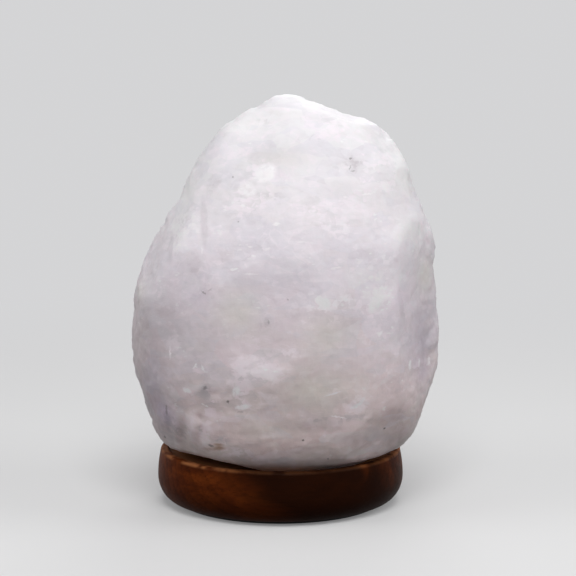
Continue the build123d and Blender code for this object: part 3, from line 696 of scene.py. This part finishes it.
# small things with crisp edges, drawn by the material:
# pixel, half width and half height in pixels, tilt, strength
crystalSpots = {
    "hues": {                      # colour, and how far the spots crumble
        "flake": ("brightest", 0.9),
        # painted shade along the edges between facets
        "paintedShadeLine": ("murk", 0.4),
        "speck": ("speck", 0.25),
    },
    "speck": {
        "shoulder": (350.5, 158.5, 1.8, 1.0, 20, 0.55),
        "shoulder hook": (350, 168, 0.8, 2.8, -20, 0.38),
        "shoulder hook's foot": (353, 171, 2.6, 0.8, 0, 0.34),
        "brow": (233, 177, 1.0, 1.0, 0, 0.55),
        "brow lower": (238, 222, 1.0, 1.0, 0, 0.5),
        "left dash": (203.5, 292.5, 3.4, 1.0, -28, 0.40),
        "left dash's tail": (210, 290, 2.8, 0.8, 35, 0.22),
        "middle": (287.5, 299.5, 1.4, 1.4, 0, 0.32),
        "middle left": (268.5, 322, 1.2, 2.8, 10, 0.26),
        "left drift": (205, 388, 1.8, 2.8, -25, 0.42),
        "drift right": (228, 401.5, 1.6, 1.6, 0, 0.75),
        "under the flake": (240, 412, 3.4, 0.9, 0, 0.30),
        "low left": (166.5, 410, 1.1, 6.5, 0, 0.42),
        "foot left": (211, 445.5, 3.2, 1.5, -10, 0.62),
        "heel": (165, 437, 1.8, 1.8, 0, 0.5),
        "low middle": (303, 440, 1.3, 1.3, 0, 0.8),
        "low right": (384.5, 428.5, 1.3, 1.3, 0, 0.85),
        "foot": (328, 459, 1.5, 1.5, 0, 0.42),
    },
    # painted shade along the edges between facets
    "paintedShadeLine": {
        "brow's shade line": (204, 222, 4.0, 26, 4, 0.22),
        "brow's edge": (171, 246, 3.0, 18, 2, 0.22),
        "right flank's line": (401, 304, 3.0, 24, 10, 0.20),
    },
    "flake": {
        "pane under the crown": (265, 173, 12.0, 9.0, 25, 1.0),
        "pane left of it": (247, 189, 10.0, 8.0, -30, 0.8),
        "square flake": (386, 186, 5.8, 5.8, 0, 0.9),
        "left chip": (187, 390.5, 5.0, 2.6, -15, 0.9),
        "bright grains": (243, 407, 8.5, 2.6, 8, 1.0),
        "over the grains": (236, 391, 4.0, 6.0, -20, 0.9),
        "splinter": (195, 366, 1.2, 4.0, -30, 0.8),
        "second splinter": (203, 368, 1.2, 4.0, 25, 0.8),
        "left streak": (170, 353, 1.0, 8.0, 0, 0.5),
        "edge comb": (410, 365, 1.4, 5.5, 0, 0.8),
        "edge comb's middle": (419, 363, 1.4, 4.5, 0, 0.8),
        "edge comb's end": (429, 361, 1.3, 5.0, 0, 0.8),
        "low right grains": (356, 406, 6.0, 2.0, 25, 0.9),
        "low right streak": (362, 401, 6.0, 2.0, 50, 0.6),
        "low right thread": (333, 394, 11.0, 0.8, 15, 0.7),
        "low thread": (338, 417, 9.0, 0.9, -12, 0.6),
        "chip by the right": (380.5, 334, 1.4, 4.0, -30, 0.8),
        "wedge": (324, 303, 8.0, 5.0, -25, 1.0),
        "tall flake": (376, 302, 6.0, 13.0, -28, 0.9),
        "tall flake's head": (366, 294, 5.0, 4.0, 20, 0.6),
        "thread": (336, 268, 6.0, 1.0, 8, 0.7),
        "upper thread": (302, 242, 7.0, 0.9, 0, 0.6),
        "shoulder grains": (367, 194, 5.0, 0.9, 0, 0.8),
        "shoulder grain": (346, 197, 2.6, 0.9, 0, 0.8),
        "pale grains": (277, 224, 5.0, 1.6, 10, 0.8),
        "left glint below": (202, 250, 0.9, 4.0, 0, 0.6),
        "middle thread": (252, 274, 9.0, 0.9, 0, 0.6),
        "middle flake": (267, 249, 4.0, 1.4, 10, 0.7),
        "cheek glint": (220, 233, 2.4, 3.4, 25, 0.7),
    },
}


def brokenBlocks(point, size, step, tilt):   # flat blocks at all angles, as salt breaks
    spot = point / size
    distances, centres = noise.voronoi(spot)
    slope = noise.noise_vector(centres[0] * 7.31)
    height = step * noise.noise(centres[0] * 3.17) * 2 + tilt * size * slope.dot(spot - centres[0])
    width, depth = crystal["seam"]
    seam = min(1.0, (distances[1] - distances[0]) / width)
    return height * (1 - depth + depth * seam)


def skinShare(point, setup):   # 1 on the outside of the rock, 0 on the seat and in what is bored into it
    outward = math.hypot(point.x, point.y)
    if outward < setup["hollowRadius"] and point.z < setup["hollowTop"]:
        return 0.0
    if abs(outward - setup["plugCircle"]) < setup["plugReach"] and point.z < setup["plugTop"]:
        return 0.0
    return max(0.0, min(1.0, (point.z - setup["seatTop"]) / setup["seatFade"]))


def eased(value, low, high):
    share = max(0.0, min(1.0, (value - low) / (high - low)))
    return share * share * (3 - 2 * share)


def ruggedness(point, setup):
    forward = -point.y / max(1e-6, math.hypot(point.x, point.y))
    foot, above = setup["calmShares"]
    left = foot + (above - foot) * eased(point.z, setup["ruggedBelow"], setup["calmAbove"])
    return 1 - (1 - left) * eased(forward, *setup["calmFacing"])


def findSpot(piece, px, py):   # the point behind a pixel, or where the eye passes the rock's middle
    start, along = sightLine(px, py)
    hit, spot, _, _ = piece.ray_cast(start, along)
    if not hit:
        spot = start - along * (start.y / along.y)
    return spot, (spot - start).length / cameraSetup["focalPixels"]


def vertexTree(mesh):
    tree = kdtree.KDTree(len(mesh.vertices))
    for vertex in mesh.vertices:
        tree.insert(vertex.co, vertex.index)
    tree.balance()
    return tree


def addSoftly(values, tree, spot, sizes, amount):   # adds a bell-shaped amount around a spot
    bellReach, bellEnd = 2.2, 4.8
    for point, index, _ in tree.find_range(spot, bellReach * max(sizes)):
        away = sum(((point[axis] - spot[axis]) / sizes[axis]) ** 2 for axis in range(3))
        if away < bellEnd:
            values[index] += amount * math.exp(-away)


def dabCrystal(piece, dabs, setup):
    bpy.context.view_layer.update()
    mesh = piece.data
    tree, pushes = vertexTree(mesh), [0.0] * len(mesh.vertices)
    for kind, entries in dabs.items():
        for px, py, wide, high, push in entries.values():
            spot, pixel = findSpot(piece, px, py)
            deep = setup["dabDepth"] * max(wide, high) * pixel
            if kind == "edge":
                spot.y, deep = 0, setup["edgeDepth"]
            addSoftly(pushes, tree, spot, (wide * pixel, deep, high * pixel), push * pixel)
    moves = [vertex.normal * push for vertex, push in zip(mesh.vertices, pushes)]
    for vertex, move in zip(mesh.vertices, moves):
        if skinShare(vertex.co, setup) > 0.5:
            vertex.co += move
    mesh.update()


def makeCrystal(setup):
    bm = bmesh.new()
    bm.from_mesh(nodes["salt_crystal"].data)
    bmesh.ops.remove_doubles(bm, verts=bm.verts, dist=1e-6)
    rough = placed("crystalRough", meshOf(bm, "crystalRough"))
    remesh = rough.modifiers.new("remesh", "REMESH")
    remesh.mode = "VOXEL"
    remesh.voxel_size = setup["voxel"]
    mesh = settled(rough)
    bpy.data.objects.remove(rough)
    bm = bmesh.new()
    bm.from_mesh(mesh)
    outside = [vertex for vertex in bm.verts if skinShare(vertex.co, setup) > 0.5]
    for _ in range(setup["easing"]):
        bmesh.ops.smooth_vert(bm, verts=outside, factor=0.5,
                              use_axis_x=True, use_axis_y=True, use_axis_z=True)
    bm.to_mesh(mesh)
    bm.free()
    noise.seed_set(setup["seed"])
    gritSize, gritHeight, calm = setup["grit"]
    moves = {}
    for vertex in mesh.vertices:
        point, share = vertex.co.copy(), skinShare(vertex.co, setup)
        if share > 0:
            rugged = ruggedness(point, setup)
            height = sum(brokenBlocks(point, *block) for block in setup["blocks"]) * rugged
            grit = noise.fractal(point / gritSize, 0.9, 2.1, 3)
            height += gritHeight * (calm + (1 - calm) * rugged) * grit
            moves[vertex.index] = vertex.normal * (height * share)
    for index, move in moves.items():
        mesh.vertices[index].co += move
    mesh.name = "saltCrystal"
    return addPiece("saltCrystal", mesh, "salt_crystal")


def markCrystal(piece, marks, scattered):   # stores the marks, found by looking through the camera
    bpy.context.view_layer.update()
    mesh = piece.data
    tree = vertexTree(mesh)
    unseen = [vertex.co.copy() for vertex in mesh.vertices
              if vertex.co.y > scattered["from"] and skinShare(vertex.co, crystal) == 1]
    dice = random.Random(scattered["seed"])
    for kind, places in marks.items():
        values = [0.0] * len(mesh.vertices)
        for px, py, wide, high, strength in places.values():
            spot, pixel = findSpot(piece, px, py)
            wide, high = wide * pixel, high * pixel
            deep = crystal["markDepth"] * max(wide, high, crystal["leastMark"])
            addSoftly(values, tree, spot, (wide, deep, high), strength)
        count, sizes, strengths = scattered[kind]
        for _ in range(count):
            size = dice.uniform(*sizes)
            spot = dice.choice(unseen)
            high = size * dice.uniform(0.5, 1)
            addSoftly(values, tree, spot, (size, size, high), dice.uniform(*strengths))
        mesh.attributes.new(kind, "FLOAT", "POINT").data.foreach_set("value", values)


def spotCrystal(salt, piece, spots, look):   # lays crisp spots over the colour so far
    crumbled = salt.bent(1300, 0.0011)
    chips = salt.cellValue(760, crumbled)
    core, rim = 0.55, 1.2
    for kind, (hue, crumble) in spots["hues"].items():
        total = 0.0
        for px, py, wide, high, tilt, strength in spots[kind].values():
            spot, pixel = findSpot(piece, px, py)
            deep = crystal["spotDepth"] * max(wide, high)
            scale = 1.0
            if wide == high:
                away = salt.add("VectorMath", {"operation": "DISTANCE"}, {0: crumbled, 1: spot}, "Value")
                scale = wide * pixel
            else:
                local = salt.add("Mapping", {"vector_type": "TEXTURE"}, {
                    "Vector": crumbled, "Location": spot, "Rotation": (0, math.radians(-tilt), 0),
                    "Scale": (wide * pixel, deep * pixel, high * pixel)})
                away = salt.add("VectorMath", {"operation": "LENGTH"}, {0: local}, "Value")
            total = total + (1 - salt.between(away, core * scale, rim * scale)) * strength
        salt.lay(total * (1 - crumble * 0.6 + chips * crumble), look[hue])


saltCrystal = makeCrystal(crystal)
dabCrystal(saltCrystal, crystalDabs, crystal)
print("crystal has", sum(len(face.vertices) - 2 for face in saltCrystal.data.polygons), "triangles")
markCrystal(saltCrystal, crystalMarks, crystalScatter)
spotCrystal(finishes["salt"], saltCrystal, crystalSpots, saltLook)


def outlined(points, steps=72):   # turns a closed outline of radii and heights about the upright axis
    bm = bmesh.new()
    verts = [bm.verts.new((radius * mm, 0, height * mm)) for radius, height in points]
    edges = [bm.edges.new(pair) for pair in zip(verts, verts[1:] + verts[:1])]
    bmesh.ops.spin(bm, geom=verts + edges, cent=(0, 0, 0), axis=(0, 0, 1), angle=math.tau, steps=steps,
                   use_merge=True)
    bmesh.ops.remove_doubles(bm, verts=bm.verts, dist=1e-7)
    bmesh.ops.recalc_face_normals(bm, faces=bm.faces)
    if bm.calc_volume(signed=True) < 0:
        bmesh.ops.reverse_faces(bm, faces=bm.faces)
    return bm


def bevelled(bm, edges, width, segments=2):
    bmesh.ops.bevel(bm, geom=edges, offset=width, affect="EDGES", segments=segments, profile=0.5, material=-1,
                    clamp_overlap=True)


def rounded(bm, width, sharp=35, segments=2):   # takes the arris off every sharp edge
    edges = [edge for edge in bm.edges if edge.calc_face_angle(0) > math.radians(sharp)]
    bevelled(bm, edges, width, segments)


def finished(bm, name, nodeName, sharpAngle=40):
    return addPiece(name, meshOf(bm, name), nodeName, sharpAngle)


def nodeCopy(nodeName):   # a merged copy of a node's mesh, with its flat faces whole again
    bm = bmesh.new()
    bm.from_mesh(nodes[nodeName].data)
    bmesh.ops.remove_doubles(bm, verts=bm.verts, dist=1e-6)
    bmesh.ops.dissolve_limit(bm, angle_limit=math.radians(1), verts=bm.verts, edges=bm.edges)
    return bm


def rollThread(bm, rolled):   # presses a right-hand thread into a turned wall
    for vertex in bm.verts:
        height, outward = vertex.co.z / mm, math.hypot(vertex.co.x, vertex.co.y) / mm
        into = min(height - rolled["start"], rolled["end"] - height) / rolled["fade"]
        share = max(0.0, min(1.0, into))
        if share > 0 and outward > rolled["inside"]:
            turn = math.atan2(vertex.co.y, vertex.co.x)
            wave = math.cos(math.tau * height / rolled["pitch"] - turn)
            factor = 1 - share * rolled["depth"] * (1 - wave) / 2 / outward
            vertex.co.x *= factor
            vertex.co.y *= factor


def rise(low, high, step=0.2):   # heights from low to high
    count = max(1, round((high - low) / step))
    return [low + (high - low) * i / count for i in range(count + 1)]


print("rolling the bulb's cap and the sleeve it screws into")

bulbCap = {                  # millimetres above the table, and from the lamp's axis
    "low": 46.45,
    "rimFoot": 59.35,
    "high": 61.95,
    "radius": 6.9,
    "rimRadius": 7.7,
    "wall": 0.35,
    "floor": 0.5,
    "wallStarts": 1.4,         # above its foot
    "heel": ((1.6, 0), (1.0, 0), (0.35, 0.45)),            # in from the wall and up from the foot
    "flange": ((0.55, 0.12), (0.12, 0.5), (0, 0.75)),      # in from the rim and up from its foot
    "lining": ((0, 0.85), (0.7, 0.3)),
    "lip": 0.15,
    "thread": {"start": 47.9, "end": 59.0, "fade": 1.3, "inside": 6.3, "pitch": 2.822, "depth": 0.7},
}
sleeve = {
    "low": 43.0,
    "high": 57.0,
    "radius": 7.2,
    "wall": 0.5,
    "flare": 0.45,
    "strip": ((7.45, 0, 40.2), (0.4, 3.2, 8.4)),      # middle and size
    "stripEdge": 0.08 * mm,
    "thread": {"start": 43.9, "end": 56.6, "fade": 1.0, "inside": 6.9, "pitch": 2.822, "depth": 0.7},
}


def makeBulbCap(setup):
    low, foot, high = setup["low"], setup["rimFoot"], setup["high"]
    outer, wall, rim = setup["radius"], setup["wall"], setup["rimRadius"]
    walls = rise(low + setup["wallStarts"], foot)
    points = [(outer - inward, low + upward) for inward, upward in setup["heel"]]
    points += [(outer, height) for height in walls]
    points += [(rim - inward, foot + upward) for inward, upward in setup["flange"]]
    points += [(rim, high - setup["lip"]), (rim - wall / 2, high), (rim - wall, high - setup["lip"])]
    points += [(rim - wall - inward, foot + upward) for inward, upward in setup["lining"]]
    points += [(outer - wall, height) for height in reversed(walls)]
    points += [(outer - setup["heel"][0][0], low + setup["floor"])]
    bm = outlined(points)
    rollThread(bm, setup["thread"])
    return finished(bm, "screwCap", "bulb_cap")


def makeSleeve(setup):
    low, high, inner, wall = setup["low"], setup["high"], setup["radius"], setup["wall"]
    walls = rise(low, high - setup["flare"])
    points = [(inner, height) for height in walls] + [(inner + 0.05, high - 0.1), (inner + wall / 2, high)]
    points += [(inner + wall, high - 0.2)] + [(inner + wall, height) for height in reversed(walls)]
    bm = outlined(points)
    rollThread(bm, setup["thread"])
    middle, size = setup["strip"]
    place = Matrix.Translation(Vector(middle) * mm) @ Matrix.Diagonal(Vector(size).to_4d())
    strip = bmesh.ops.create_cube(bm, size=mm, matrix=place)
    edges = list({edge for vertex in strip["verts"] for edge in vertex.link_edges})
    bevelled(bm, edges, setup["stripEdge"])
    return finished(bm, "brassSleeve", "threaded_sleeve")


makeBulbCap(bulbCap)
makeSleeve(sleeve)

print("winding the filament")

filament = {
    "ends": 5.75,              # half its span
    "low": 84.75,
    "bow": 1.1,
    "shoulder": 2.7,
    "bends": 0.8,              # the share of the bow that rises straight
    "coilRadius": 0.27,
    "wireRadius": 0.055,
    "pitch": 0.17,
    "steps": 10,
}


def makeFilament(setup):
    turns = round(2 * setup["ends"] / setup["pitch"])
    straight, curved = setup["bends"], 1 - setup["bends"]
    bm = bmesh.new()
    start = Matrix.Translation((-setup["ends"] * mm, 0, setup["coilRadius"] * mm))
    across = start @ Matrix.Rotation(math.pi / 2, 4, "X")
    bmesh.ops.create_circle(bm, segments=5, radius=setup["wireRadius"] * mm, matrix=across, cap_ends=True)
    bmesh.ops.spin(bm, geom=list(bm.verts) + list(bm.edges) + list(bm.faces), cent=(0, 0, 0), axis=(1, 0, 0),
                   dvec=(setup["pitch"] / setup["steps"] * mm, 0, 0), angle=math.tau * turns,
                   steps=turns * setup["steps"])
    bmesh.ops.recalc_face_normals(bm, faces=bm.faces)
    for vertex in bm.verts:
        reach = abs(vertex.co.x) / mm
        rising = min(1.0, (setup["ends"] - reach) / (setup["ends"] - setup["shoulder"]))
        if rising >= straight:
            rising = straight + curved * math.sin((rising - straight) / curved * math.pi / 2)
        vertex.co.z += (setup["low"] + setup["bow"] * rising) * mm
    return finished(bm, "coiledFilament", "filament", None)


makeFilament(filament)

print("moulding the holder")

holderShell = {
    "foot": 30.6,
    "top": 60.0,
    "skin": 13.725,
    "inner": 12.4,
    "mouth": 8.6,
    "lip": 1.6,
    "ribs": 18,
    "ribRadius": 0.29,
    "ribEnds": (32.9, 45.5),
    "groove": ((0, 12.4), (0.35, 12.0), (0.35, 11.2), (0, 10.8)),   # into the skin, and down from the top
    "shoulder": 1.3 * mm,
    "arris": 0.22 * mm,
}


def makeHolderShell(setup):
    foot, top, skin, inner = setup["foot"], setup["top"], setup["skin"], setup["inner"]
    groove = [(skin - depth, top - down) for depth, down in setup["groove"]]
    bm = outlined([(inner, foot), (skin, foot)] + groove + [(skin, top), (setup["mouth"], top),
                  (setup["mouth"], top - setup["lip"]), (inner, top - setup["lip"])])
    atRim = {v for v in bm.verts if abs(v.co.xy.length - skin * mm) < 1e-5 and v.co.z > (top - 1) * mm}
    rim = [edge for edge in bm.edges if edge.calc_face_angle(0) > 1.0 and atRim.issuperset(edge.verts)]
    bevelled(bm, rim, setup["shoulder"], segments=4)
    rounded(bm, setup["arris"])
    for turn in range(setup["ribs"]):
        around = Matrix.Rotation(math.tau * turn / setup["ribs"], 4, "Z")
        rib = bmesh.ops.create_uvsphere(bm, u_segments=10, v_segments=8, radius=setup["ribRadius"] * mm,
                                        matrix=around @ Matrix.Translation((skin * mm, 0, 0)))
        for vertex in rib["verts"]:
            vertex.co.z += setup["ribEnds"][1 if vertex.co.z > 0 else 0] * mm
    return finished(bm, "ribbedShell", "holder_shell")


makeHolderShell(holderShell)

holderCap = {
    "neck": (5.05, 6.6),         # bore and outside
    "foot": 9.0,
    "domeLow": 17.0,
    "domeHigh": 24.0,
    "skirtTop": 30.0,
    "spigotTop": 36.0,
    "radius": 14.0,
    "spigot": (11.0, 12.2),
    "wall": 1.6,
    "groove": ((0, 1.9), (0.3, 1.6), (0.3, 1.1), (0, 0.8)),
    "arris": 0.19 * mm,
}


def makeHolderCap(setup):
    (bore, neck), (inner, spigot) = setup["neck"], setup["spigot"]
    low, high, wall, radius = setup["domeLow"], setup["domeHigh"], setup["wall"], setup["radius"]
    quarter = [math.pi / 2 * i / 12 for i in range(13)]
    dome = [(neck + (radius - neck) * math.sin(a), high - (high - low) * math.cos(a)) for a in quarter]
    lining = [(neck + (inner - neck) * math.sin(a), high - (high - low - wall) * math.cos(a))
              for a in reversed(quarter)]
    groove = [(radius - depth, setup["skirtTop"] - down) for depth, down in setup["groove"]]
    points = [(bore, setup["foot"]), (neck, setup["foot"])] + dome + groove
    points += [(radius, setup["skirtTop"]), (spigot, setup["skirtTop"]), (spigot, setup["spigotTop"])]
    points += [(inner, setup["spigotTop"])] + lining + [(bore, low + wall)]
    bm = outlined(points)
    rounded(bm, setup["arris"])
    return finished(bm, "domedCap", "holder_cap")


makeHolderCap(holderCap)

softEdges = {                # node, piece, how much of each arris is taken off
    "holder_insert": ("ceramicInsert", 0.25 * mm),
    "spring_clip": ("springClip", 0.12 * mm),
    "cord_gland": ("cordGland", 0.30 * mm),
    "centre_contact": ("centreTongue", 0.06 * mm),
    "terminal_blocks": ("terminalBlocks", 0.18 * mm),
    "terminal_screws": ("terminalScrews", 0.10 * mm),
    "gland_screw": ("gripScrew", 0.08 * mm),
}
for nodeName, (name, width) in softEdges.items():
    bm = nodeCopy(nodeName)
    rounded(bm, width)
    finished(bm, name, nodeName)

print("cutting the screws' threads and the felt's edge")

woodScrew = {
    "headTop": 7.6,
    "shankRadius": 1.55,
    "crestRadius": 2.0,
    "pitch": 1.6,
    "tip": 37.5,
    "point": 4.0,
    "circle": 30.0,
    "first": -90.0,
    "count": 3,
    "headKeeps": 1.5,          # of the shank below it
    "core": 0.05,
    "steps": 24,
    "crestPower": 3,           # how narrow the crests are
    "pointPower": 0.7,         # how blunt the point is
}


def makeScrews(setup):
    bm = nodeCopy("fixing_screws")
    bmesh.ops.bisect_plane(bm, geom=list(bm.verts) + list(bm.edges) + list(bm.faces), dist=1e-7,
                           plane_co=(0, 0, (setup["headTop"] + setup["headKeeps"]) * mm), plane_no=(0, 0, 1),
                           clear_outer=True)
    bmesh.ops.holes_fill(bm, edges=[edge for edge in bm.edges if edge.is_boundary])
    heights = rise(setup["headTop"], setup["tip"])
    crests = [(setup["crestRadius"], height) for height in heights[:-1]]
    shank = outlined([(setup["core"], setup["tip"])] + crests + [(setup["core"], setup["headTop"])],
                     setup["steps"])
    for vertex in shank.verts:
        height, outward = vertex.co.z / mm, math.hypot(vertex.co.x, vertex.co.y) / mm
        if outward < 1:
            continue
        taper = min(1.0, (setup["tip"] - height) / setup["point"]) ** setup["pointPower"]
        turn = math.atan2(vertex.co.y, vertex.co.x)
        wave = (math.cos(math.tau * height / setup["pitch"] - turn) * 0.5 + 0.5) ** setup["crestPower"]
        radius = (setup["shankRadius"] + (setup["crestRadius"] - setup["shankRadius"]) * wave) * taper
        vertex.co.x *= radius / outward
        vertex.co.y *= radius / outward
    mesh = meshOf(shank, "shank")
    for number in range(setup["count"]):
        angle = math.radians(setup["first"]) + math.tau * number / setup["count"]
        place = Matrix.Rotation(angle, 4, "Z") @ Matrix.Translation((setup["circle"] * mm, 0, 0))
        turned = mesh.copy()
        turned.transform(place)
        bm.from_mesh(turned)
        bpy.data.meshes.remove(turned)
    bpy.data.meshes.remove(mesh)
    return finished(bm, "woodScrews", "fixing_screws")


makeScrews(woodScrew)

felt = {"cell": 1.2 * mm, "fuzz": 0.10 * mm, "grain": 0.9 * mm, "arris": 0.2 * mm, "flat": 0.1 * mm}


def makeFelt(setup):
    bm = nodeCopy("felt_ring")
    bmesh.ops.triangulate(bm, faces=bm.faces)
    while True:
        long = [edge for edge in bm.edges if edge.calc_length() > 2 * setup["cell"]]
        if not long:
            break
        bmesh.ops.subdivide_edges(bm, edges=long, cuts=1)
        bmesh.ops.triangulate(bm, faces=[face for face in bm.faces if len(face.verts) > 3])
    rounded(bm, setup["arris"], sharp=60, segments=1)
    bm.normal_update()
    low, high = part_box("felt_ring")
    for vertex in bm.verts:
        if low[2] + setup["flat"] < vertex.co.z < high[2] - setup["flat"]:
            vertex.co -= vertex.normal * setup["fuzz"] * abs(noise.noise(vertex.co / setup["grain"]) * 2)
    return finished(bm, "feltPad", "felt_ring", None)


makeFelt(felt)

print("lighting")

studio = {
    "pale": (0.66, 0.66, 0.67, 1),        # floor and backdrop as the camera sees them
    "tones": (grey(0.80), grey(0.70)),
    "bounce": (0.14, 0.135, 0.13, 1),     # floor as it lights the lamp's underside
    "shadowReach": (0.16, 0.55),          # from here to here the floor's shading fades out
    "shadowShare": 0.75,
    "worldLight": 0.30,
    "floorReach": 8,
    "lamps": {          # place, size, watts, what it points at
        "keyHigh": ((0.04, -0.72, 0.94), 0.55, 7.2, (0, 0, 0.08)),
        "overhead": ((-0.05, 0.00, 1.15), 0.70, 0.3, (0, 0, 0.1)),
        "softLeft": ((-0.90, -0.30, 0.68), 0.60, 2.4, (0, 0, 0.09)),
        "softRight": ((0.93, -0.20, 0.64), 0.60, 3.3, (0, 0, 0.09)),
        "behind": ((0.15, 1.00, 0.75), 0.60, 3.6, (0, 0, 0.08)),
    },
}


def makeFloor(setup):
    bm = bmesh.new()
    bmesh.ops.create_grid(bm, x_segments=1, y_segments=1, size=setup["floorReach"])
    ground = Finish("paleFloor", Roughness=0.9, Specular_IOR_Level=0.1)
    rays = ground.seenRays()
    seen = ground.mixed(ground.cloud(400, 3) * 0.05, *setup["tones"])
    ground.colour(ground.mixed(rays, setup["bounce"], seen))
    away = ground.add("VectorMath", {"operation": "LENGTH"}, {0: ground.place}, "Value")
    near = 1 - ground.between(away, *setup["shadowReach"])
    glow = ground.add("Emission", {}, {"Color": setup["pale"], "Strength": 1.0})
    even = rays * (1 - near * setup["shadowShare"])
    both = ground.add("MixShader", {}, {0: even, 1: Tap(ground, ground.shader.outputs[0]), 2: glow})
    ground.feed(ground.tree.nodes["Material Output"].inputs["Surface"], both)
    floor = placed("floor", meshOf(bm, "floor"))
    floor.data.materials.append(ground.material)


def makeWorld(setup):
    world = bpy.data.worlds.new("studio")
    bpy.context.scene.world = world
    world.use_nodes = True
    sky = Shading(world.node_tree)
    background = sky.tree.nodes["Background"]
    strength = sky.add("MapRange", {}, {
        "Value": sky.seenRays(), "To Min": setup["worldLight"], "To Max": 1.0})
    sky.feed(background.inputs["Strength"], strength)
    sky.feed(background.inputs["Color"], setup["pale"])


def makeLamps(lamps):
    for name, (place, size, watts, target) in lamps.items():
        data = bpy.data.lights.new(name, "AREA")
        data.shape, data.size, data.energy = "SQUARE", size, watts
        lamp = placed(name, data)
        lamp.location = place
        lamp.rotation_euler = (Vector(target) - Vector(place)).to_track_quat("-Z", "Y").to_euler()


makeFloor(studio)
makeWorld(studio)
makeLamps(studio["lamps"])
bpy.context.scene.view_settings.view_transform = "Standard"

print("finishing")
